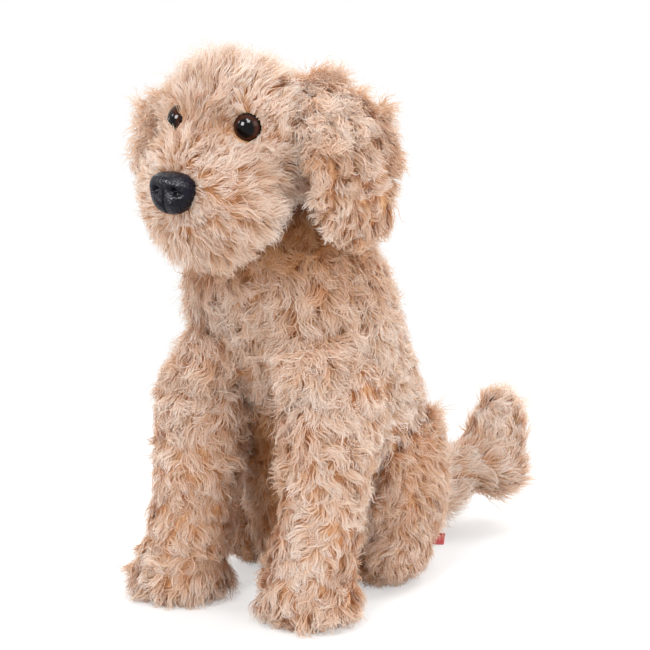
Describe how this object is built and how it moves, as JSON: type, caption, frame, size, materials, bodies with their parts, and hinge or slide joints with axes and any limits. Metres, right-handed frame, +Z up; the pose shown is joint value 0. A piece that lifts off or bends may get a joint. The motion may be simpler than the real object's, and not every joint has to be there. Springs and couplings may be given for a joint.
{
  "type": "plush dog",
  "caption": "Sitting stuffed toy dog with a curly honey pile, drooping ears, domed eyes, a broad muzzle and a curled tail.",
  "frame": {"origin": "on the floor, at the middle of the round seat panel", "axes": "+Z up, the dog looks along -Y, its left side is +X"},
  "size_m": [0.1207, 0.2447, 0.2534],
  "materials": {
    "curly_pile": "long curly pile, matt",
    "ear_lining": "curly pile, matt",
    "fibre_filling": "loose fibre",
    "pellet_cotton": "plain weave",
    "eye_plastic": "polished",
    "nose_plastic": "satin, pebbled",
    "washer_plastic": "moulded",
    "red_ribbon": "woven ribbon"
  },
  "bodies": {
    "torso": {"torso_cover": "curly_pile", "torso_stuffing": "fibre_filling", "pellet_bag": "pellet_cotton", "seat_panel": "curly_pile"},
    "neck": {"neck_stuffing": "fibre_filling"},
    "head": {"head_cover": "curly_pile", "head_stuffing": "fibre_filling", "muzzle_cover": "curly_pile", "muzzle_stuffing": "fibre_filling", "eye_left": "eye_plastic", "eye_right": "eye_plastic", "eye_washer_left": "washer_plastic", "eye_washer_right": "washer_plastic", "nose": "nose_plastic", "nose_washer": "washer_plastic"},
    "ear_left": {"ear_left_outer": "curly_pile", "ear_left_lining": "ear_lining"},
    "ear_right": {"ear_right_outer": "curly_pile", "ear_right_lining": "ear_lining"},
    "front_leg_left": {"front_leg_left_cover": "curly_pile", "front_leg_left_stuffing": "fibre_filling"},
    "front_leg_right": {"front_leg_right_cover": "curly_pile", "front_leg_right_stuffing": "fibre_filling"},
    "hind_leg_left": {"thigh_left_cover": "curly_pile", "thigh_left_stuffing": "fibre_filling", "hind_foot_left_cover": "curly_pile", "hind_foot_left_stuffing": "fibre_filling", "label_tab": "red_ribbon"},
    "hind_leg_right": {"thigh_right_cover": "curly_pile", "thigh_right_stuffing": "fibre_filling", "hind_foot_right_cover": "curly_pile", "hind_foot_right_stuffing": "fibre_filling"},
    "tail": {"tail_cover": "curly_pile", "tail_stuffing": "fibre_filling"}
  },
  "joints": [
    {"name": "neck_turn", "type": "hinge", "parent": "torso", "child": "neck", "pos_m": [0, -0.044, 0.168], "axis": [0, 0, 1], "range_deg": [-25, 25], "stiffness_Nm_per_rad": 0.2},
    {"name": "head_nod", "type": "hinge", "parent": "neck", "child": "head", "pos_m": [0, -0.044, 0.168], "axis": [0.9925, -0.1219, 0], "range_deg": [-12, 12], "stiffness_Nm_per_rad": 0.8},
    {"name": "ear_left_lift", "type": "hinge", "parent": "head", "child": "ear_left", "pos_m": [0.02534, -0.0592, 0.2456], "axis": [-0.1219, -0.9925, 0], "range_deg": [0, 60]},
    {"name": "ear_right_lift", "type": "hinge", "parent": "head", "child": "ear_right", "pos_m": [-0.02826, -0.05262, 0.2456], "axis": [0.1219, 0.9925, 0], "range_deg": [0, 60]},
    {"name": "front_leg_left_swing", "type": "hinge", "parent": "torso", "child": "front_leg_left", "pos_m": [0.035, -0.058, 0.125], "axis": [-1, 0, 0], "range_deg": [0, 25], "stiffness_Nm_per_rad": 0.1},
    {"name": "front_leg_right_swing", "type": "hinge", "parent": "torso", "child": "front_leg_right", "pos_m": [-0.035, -0.058, 0.125], "axis": [-1, 0, 0], "range_deg": [0, 25], "stiffness_Nm_per_rad": 0.1},
    {"name": "hind_leg_left_splay", "type": "hinge", "parent": "torso", "child": "hind_leg_left", "pos_m": [0.035, 0.007, 0.0865], "axis": [0, -1, 0], "range_deg": [0, 20], "stiffness_Nm_per_rad": 0.1},
    {"name": "hind_leg_right_splay", "type": "hinge", "parent": "torso", "child": "hind_leg_right", "pos_m": [-0.035, 0.007, 0.0865], "axis": [0, 1, 0], "range_deg": [0, 20], "stiffness_Nm_per_rad": 0.1},
    {"name": "tail_wag", "type": "hinge", "parent": "torso", "child": "tail", "pos_m": [0, 0.053, 0.034], "axis": [0, 0, 1], "range_deg": [-25, 25], "stiffness_Nm_per_rad": 0.03}
  ]
}
